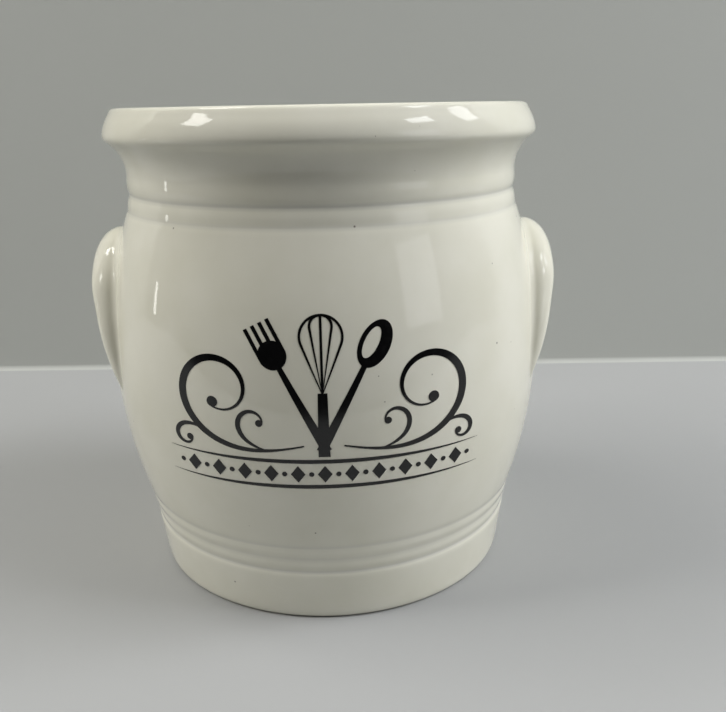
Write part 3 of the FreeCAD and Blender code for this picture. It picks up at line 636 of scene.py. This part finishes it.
def border(decal, rows=121):
    """Two lines that swell as a parabola, with lozenges and dots between them."""
    drop = decal.fan_drop + decal.whisk_grip_tail + decal.border_gap
    drop += (decal.rule_thick + decal.rule_spacing) / 2
    across = np.linspace(-1, 1, rows) * (1 - RULE_TIP) * decal.rule_length / 2
    swell = decal.rule_thick / 2 * (1 - (2 * across / decal.rule_length) ** 2)
    strokes = []
    for level in (-drop - decal.rule_spacing / 2, -drop + decal.rule_spacing / 2):
        upper = np.stack((across, level + swell), axis=1)
        lower = np.stack((across, level - swell), axis=1)
        strokes.append((upper, lower))
    places = np.arange(decal.lozenge_count) - (decal.lozenge_count - 1) / 2
    for place in places * decal.lozenge_pitch:
        strokes.append(lozenge(place, -drop, decal.lozenge_width, decal.lozenge_height))
    places = np.arange(decal.lozenge_count + 1) - decal.lozenge_count / 2
    for place in places * decal.lozenge_pitch:
        strokes.append(oval(place, -drop, 2 * decal.dot_radius, 2 * decal.dot_radius))
    return strokes


def print_shell(pot, decal, stroke, layer, columns=7):
    """Thin closed ribbon between a stroke's two edges, carried straight back onto the barrel: its front
    one film outside the wall and its back as far inside it, y = -sqrt((wall + lift)^2 - x^2)."""
    left, right = stroke
    part = np.linspace(0, 1, columns)
    part = np.concatenate((part, part[::-1]))[None, :, None]
    flat = left[:, None, :] * (1 - part) + right[:, None, :] * part
    lift = np.where(np.arange(2 * columns) < columns, decal.film + layer * decal.layer, -decal.film)
    across = decal.shift + flat[:, :, 0]
    height = decal.height + flat[:, :, 1]
    back = np.sqrt((barrel_wall(pot, height) + lift) ** 2 - across ** 2)
    return np.stack((across, -back, height), axis=2)


def shell_faces(rows, columns, ring, first):
    """Quads between the rings of a shell whose points are numbered from first. A ring shell's last row
    meets its first one, and any other shell is closed by a fan of triangles to a point at each end,
    numbered after the grid."""
    index = first + np.arange(rows * columns).reshape(rows, columns)
    beside = np.roll(index, -1, axis=1)
    above = np.roll(index, -1, axis=0)
    above_beside = np.roll(beside, -1, axis=0)
    quads = np.stack((index, beside, above_beside, above), axis=2)
    if ring:
        return quads.reshape(-1, 4).tolist()
    end = np.full(columns, first + rows * columns)
    fans = np.concatenate((np.stack((beside[0], index[0], end), axis=1),
                           np.stack((index[-1], beside[-1], end + 1), axis=1)))
    return quads[:-1].reshape(-1, 4).tolist() + fans.tolist()


def make_piece(name, shells, material, crease, rings=()):
    """One mesh object from closed shells, each a grid of rows by columns of points. Rings lists the shells
    whose rows also close on themselves."""
    points, faces, first = [], [], 0
    for place, grid in enumerate(shells):
        rows, columns, _ = grid.shape
        ring = place in rings
        ends = [] if ring else [grid[:1].mean(axis=1), grid[-1:].mean(axis=1)]
        block = np.concatenate([grid.reshape(-1, 3), *ends])
        faces += shell_faces(rows, columns, ring, first)
        points.append(block)
        first += len(block)
    mesh = bpy.data.meshes.new(name)
    mesh.from_pydata(np.concatenate(points).tolist(), [], faces)
    mesh.shade_smooth()
    mesh.set_sharp_from_angle(angle=crease)
    mesh.materials.append(material)
    piece = bpy.data.objects.new(name, mesh)
    bpy.context.scene.collection.objects.link(piece)
    return piece


def add(tree, kind, sockets=None, **settings):
    """Adds a node, sets its settings, and gives each named input a value or a link."""
    node = tree.nodes.new(kind)
    for name, value in settings.items():
        setattr(node, name, value)
    for name, value in (sockets or {}).items():
        if isinstance(value, bpy.types.NodeSocket):
            tree.links.new(value, node.inputs[name])
        else:
            node.inputs[name].default_value = value
    return node


def new_material(name):
    """Empty material, its node tree, its Principled shader and the piece's own coordinates."""
    material = bpy.data.materials.get(name)
    if material:
        return material, None, None, None
    material = bpy.data.materials.new(name)
    material.use_nodes = True
    tree = material.node_tree
    tree.nodes.clear()
    shader = add(tree, "ShaderNodeBsdfPrincipled")
    add(tree, "ShaderNodeOutputMaterial", {"Surface": shader.outputs["BSDF"]})
    place = add(tree, "ShaderNodeTexCoord").outputs["Object"]
    return material, tree, shader, place


def blend(tree, part, first, second):
    """Colour between two others by a part."""
    node = add(tree, "ShaderNodeMix", {"Factor": part, MIX_FIRST: first, MIX_SECOND: second},
               data_type="RGBA")
    return node.outputs[MIX_RESULT]


def remap(tree, value, bounds, results):
    """Value carried over from between two bounds to between two results."""
    node = add(tree, "ShaderNodeMapRange", {"Value": value, "From Min": bounds[0], "From Max": bounds[1],
                                            "To Min": results[0], "To Max": results[1]})
    return node.outputs["Result"]


def gloss_glaze(looks):
    """Clear gloss glaze on warm white stoneware. The eye sees a hard bright shine that wavers a little,
    faint clouds where the glaze is thicker, a greyer tone in the grooves that is partly glaze run into
    them and partly painted shade, a few iron specks, and a dull bare ring on the foot where it was wiped
    off."""
    material, tree, shader, place = new_material("glossy_white_glazed_stoneware")
    if tree is None:
        return material
    clouds = add(tree, "ShaderNodeTexNoise", {"Vector": place, "Scale": 1 / looks.cloud_size, "Detail": 3.0})
    cloudy = remap(tree, clouds.outputs["Fac"], CLOUD_RANGE, UNIT)
    tone = blend(tree, cloudy, tuple(looks.glaze), tuple(looks.mottle))
    # Greyer tone in the grooves, by how sharply the section bends there: partly glaze run into them, partly
    # painted shade
    groove = add(tree, "ShaderNodeAttribute", attribute_name="glaze_pool_and_shade")
    tone = blend(tree, groove.outputs["Fac"], tone, tuple(looks.pooled_and_shaded))
    # One speck in each cell, each with its own size
    cells = add(tree, "ShaderNodeTexVoronoi", {"Vector": place, "Scale": 1 / looks.speck_spacing})
    chance = add(tree, "ShaderNodeSeparateColor", {"Color": cells.outputs["Color"]})
    radius = looks.speck_radius / looks.speck_spacing
    reach = remap(tree, chance.outputs["Red"], UNIT, (radius * SPECK_LEAST, radius))
    depth = add(tree, "ShaderNodeMath", {0: cells.outputs["Distance"], 1: reach}, operation="DIVIDE")
    speck = remap(tree, depth.outputs["Value"], SPECK_EDGE, (SPECK_TONE, 0.0))
    tone = blend(tree, speck, tone, tuple(looks.speck))
    level = add(tree, "ShaderNodeSeparateXYZ", {"Vector": place})
    wiped = (looks.bare_height * WIPE_START, looks.bare_height)
    bare = remap(tree, level.outputs["Z"], wiped, (1.0, 0.0))
    tone = blend(tree, bare, tone, tuple(looks.biscuit))
    tree.links.new(tone, shader.inputs["Base Color"])
    dull = remap(tree, bare, UNIT, (looks.gloss_roughness, BARE_ROUGHNESS))
    tree.links.new(dull, shader.inputs["Roughness"])
    waves = add(tree, "ShaderNodeTexNoise", {"Vector": place, "Scale": 1 / looks.wave_size,
                                             "Detail": 1.5, "Roughness": 0.4})
    bump = add(tree, "ShaderNodeBump", {"Height": waves.outputs["Fac"], "Distance": looks.wave_depth})
    tree.links.new(bump.outputs["Normal"], shader.inputs["Normal"])
    shader.inputs["IOR"].default_value = GLAZE_IOR
    return material


def fired_enamel(looks):
    """Black enamel transfer fired into the glaze. The eye sees a deep black that is a little greyer where
    the film is thin, with nearly the shine of the glaze around it."""
    material, tree, shader, place = new_material("black_fired_enamel_print")
    if tree is None:
        return material
    grain = add(tree, "ShaderNodeTexNoise", {"Vector": place, "Scale": 1 / FILM_GRAIN, "Detail": 3.0})
    thin = remap(tree, grain.outputs["Fac"], THIN_RANGE, UNIT)
    tone = blend(tree, thin, tuple(looks.print_black), tuple(looks.print_thin))
    tree.links.new(tone, shader.inputs["Base Color"])
    dullest = looks.print_roughness * THIN_DULLING
    dull = remap(tree, grain.outputs["Fac"], UNIT, (looks.print_roughness, dullest))
    tree.links.new(dull, shader.inputs["Roughness"])
    shader.inputs["IOR"].default_value = ENAMEL_IOR
    return material


def matt_paint(name, paint_colour):
    """Matt painted floor or backdrop, seen only from its front, so that other views look past it."""
    material = bpy.data.materials.new(name)
    material.use_nodes = True
    tree = material.node_tree
    tree.nodes.clear()
    paint = add(tree, "ShaderNodeBsdfDiffuse", {"Color": paint_colour})
    clear = add(tree, "ShaderNodeBsdfTransparent")
    behind = add(tree, "ShaderNodeNewGeometry").outputs["Backfacing"]
    either = add(tree, "ShaderNodeMixShader", {0: behind, 1: paint.outputs["BSDF"],
                                               2: clear.outputs["BSDF"]})
    add(tree, "ShaderNodeOutputMaterial", {"Surface": either.outputs["Shader"]})
    return material


def stage_sheet(stage, name, line, material):
    """Sheet of the stage: a line of depths and heights carried from side to side, then turned about
    the crock's axis."""
    half = stage.stage_width / 2
    count = len(line)
    points = np.concatenate([np.column_stack((np.full(count, side), line)) for side in (-half, half)])
    index = np.arange(count - 1)
    faces = np.stack((index, index + count, index + count + 1, index + 1), axis=1)
    mesh = bpy.data.meshes.new(name)
    mesh.from_pydata(points.tolist(), [], faces.tolist())
    mesh.shade_smooth()
    mesh.materials.append(material)
    mesh.transform(Matrix.Rotation(stage.stage_turn, 4, "Z"))
    item = bpy.data.objects.new(name, mesh)
    bpy.context.scene.collection.objects.link(item)


def dim_room(stage):
    """Dim even light from all round, which the camera sees as the wall's own colour."""
    world = bpy.data.worlds.new("dim_room")
    world.use_nodes = True
    tree = world.node_tree
    tree.nodes.clear()
    path = add(tree, "ShaderNodeLightPath")
    room = add(tree, "ShaderNodeBackground", {"Color": tuple(stage.room), "Strength": stage.room_strength})
    behind = add(tree, "ShaderNodeBackground", {"Color": tuple(stage.backdrop), "Strength": 1.0})
    either = add(tree, "ShaderNodeMixShader", {0: path.outputs["Is Camera Ray"],
                                               1: room.outputs["Background"],
                                               2: behind.outputs["Background"]})
    add(tree, "ShaderNodeOutputWorld", {"Surface": either.outputs["Shader"]})
    return world


def photo_camera(stage):
    """Camera at the photo's place: rolled about its own axis, tipped down, then turned left or right."""
    lens = bpy.data.cameras.new("photo_camera")
    lens.sensor_fit = "HORIZONTAL"
    lens.sensor_width = SENSOR_WIDTH
    lens.lens = stage.lens
    lens.clip_start = NEAREST
    camera = bpy.data.objects.new("photo_camera", lens)
    roll = Matrix.Rotation(stage.camera_roll, 4, "Z")
    dip = Matrix.Rotation(math.pi / 2 - stage.camera_dip, 4, "X")
    pan = Matrix.Rotation(stage.camera_pan, 4, "Z")
    camera.matrix_world = Matrix.Translation(stage.camera_place) @ (pan @ dip @ roll)
    bpy.context.scene.collection.objects.link(camera)
    return camera


def area_light(name, bearing, rise, distance, width, height, watts, hex_colour, mirrored):
    """Soft rectangular lamp that shines on the crock's middle from a bearing and a height angle."""
    light = bpy.data.lights.new(name, "AREA")
    light.shape = "RECTANGLE"
    light.size = width
    light.size_y = height
    light.energy = watts
    light.color = linear(hex_colour)[:3]
    lamp = bpy.data.objects.new(name, light)
    bearing, rise = math.radians(bearing), math.radians(rise)
    level = math.cos(rise)
    toward = Vector((math.sin(bearing) * level, -math.cos(bearing) * level, math.sin(rise)))
    lamp.location = (CAD_LOW + CAD_HIGH) / 2 + toward * distance
    lamp.rotation_euler = (-toward).to_track_quat("-Z", "Y").to_euler()
    lamp.visible_camera = False
    lamp.visible_glossy = mirrored
    bpy.context.scene.collection.objects.link(lamp)
    return lamp


class CROCK_OT_turn_body(bpy.types.Operator):
    """Turn the hollow body, foot ring to rim and back down to its floor"""
    bl_idname = "crock.turn_body"
    bl_label = "Turn the body"

    def execute(self, context):
        pot = context.scene.crock_sizes
        looks = context.scene.crock_looks
        smooth = soften(trace(crock_section(pot), TRACE_STEP), pot.glaze_softness, TRACE_STEP)
        section, bends = thin_out(smooth, pot.section_points)
        shell = turned_shell(section[1:-1], pot.turns)
        body = make_piece("crock_body_glazed", [shell], gloss_glaze(looks), BODY_CREASE)
        # Share of the greyer groove tone at each point, from the section's bend, kept as an attribute:
        # partly glaze run into the grooves, partly painted shade
        groove_darkening = np.clip(-bends / looks.pool_and_shade_bend, 0, looks.pool_and_shade_most)
        groove_darkening = np.concatenate((np.repeat(groove_darkening[1:-1], pot.turns), groove_darkening[[0, -1]])).astype(np.float32)
        body.data.attributes.new("glaze_pool_and_shade", "FLOAT", "POINT").data.foreach_set("value", groove_darkening)
        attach(body, "root")
        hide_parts("crock_body")
        return {"FINISHED"}


class CROCK_OT_lute_lugs(bpy.types.Operator):
    """Lute the two ear lugs to the barrel's sides"""
    bl_idname = "crock.lute_lugs"
    bl_label = "Lute the lugs"

    def execute(self, context):
        scene = context.scene
        for name, side in (("left_lug", -1), ("right_lug", 1)):
            shell = lug_shell(scene.crock_sizes, scene.crock_lugs, side)
            lug = make_piece(name + "_glazed", [shell], gloss_glaze(scene.crock_looks), LUG_CREASE)
            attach(lug, "root")
            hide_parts(name)
        return {"FINISHED"}


class CROCK_OT_fire_print(bpy.types.Operator):
    """Lay the black utensil print on the front of the barrel"""
    bl_idname = "crock.fire_print"
    bl_label = "Fire the print"

    def execute(self, context):
        pot = context.scene.crock_sizes
        decal = context.scene.crock_print
        strokes = spoon_bowl(decal) + utensil_fan(decal) + scrolls(decal) + border(decal)
        shells = [print_shell(pot, decal, stroke, place % LAYER_COUNT)
                  for place, stroke in enumerate(strokes)]
        # The spoon's bowl comes first and is the one stroke that closes on itself
        film = make_piece("front_print_fired", shells, fired_enamel(context.scene.crock_looks),
                          PRINT_CREASE, rings=(0,))
        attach(film, "root")
        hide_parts("front_print")
        return {"FINISHED"}


class CROCK_OT_set_stage(bpy.types.Operator):
    """Set the floor, the wall, the lights and the camera"""
    bl_idname = "crock.set_stage"
    bl_label = "Set the stage"

    def execute(self, context):
        scene = context.scene
        stage = scene.crock_stage
        # Floor up to a small cove, then the cove and the wall, each as depths and heights
        turn = np.linspace(0, math.pi / 2, COVE_POINTS)
        edge = stage.wall_distance - stage.cove
        cove = np.stack((edge + stage.cove * np.sin(turn), stage.cove - stage.cove * np.cos(turn)), axis=1)
        floor_line = np.array(((-stage.floor_depth, 0.0), (edge, 0.0)))
        wall_line = np.concatenate((cove, ((stage.wall_distance, stage.wall_height),)))
        stage_sheet(stage, "stage_floor", floor_line, matt_paint("pale_matt_floor", tuple(stage.floor)))
        stage_sheet(stage, "stage_wall", wall_line, matt_paint("grey_matt_wall", tuple(stage.backdrop)))
        for lamp in LAMPS:
            area_light(*lamp)
        scene.world = dim_room(stage)
        scene.camera = photo_camera(stage)
        scene.view_settings.view_transform = "Standard"
        return {"FINISHED"}


GROUPS = {
    "crock_sizes": CrockSizes,
    "crock_lugs": LugSizes,
    "crock_print": PrintSizes,
    "crock_looks": GlazeLooks,
    "crock_stage": StageLooks,
}
OPERATORS = (CROCK_OT_turn_body, CROCK_OT_lute_lugs, CROCK_OT_fire_print, CROCK_OT_set_stage)


class CROCK_PT_maker(bpy.types.Panel):
    """Sizes, looks and steps of the crock"""
    bl_idname = "CROCK_PT_maker"
    bl_label = "Utensil crock"
    bl_space_type = "VIEW_3D"
    bl_region_type = "UI"
    bl_category = "Crock"

    def draw(self, context):
        for operator in OPERATORS:
            self.layout.operator(operator.bl_idname)
        for name, group in GROUPS.items():
            box = self.layout.box()
            box.label(text=group.__doc__)
            for size in group.__annotations__:
                box.prop(getattr(context.scene, name), size)


CLASSES = (*GROUPS.values(), *OPERATORS, CROCK_PT_maker)


def register():
    for item in CLASSES:
        bpy.utils.register_class(item)
    for name, group in GROUPS.items():
        setattr(bpy.types.Scene, name, PointerProperty(type=group))


def unregister():
    for name in GROUPS:
        delattr(bpy.types.Scene, name)
    for item in reversed(CLASSES):
        bpy.utils.unregister_class(item)


def main():
    register()
    bpy.ops.crock.turn_body()
    bpy.ops.crock.lute_lugs()
    bpy.ops.crock.fire_print()
    bpy.ops.crock.set_stage()


if __name__ == "__main__":
    main()
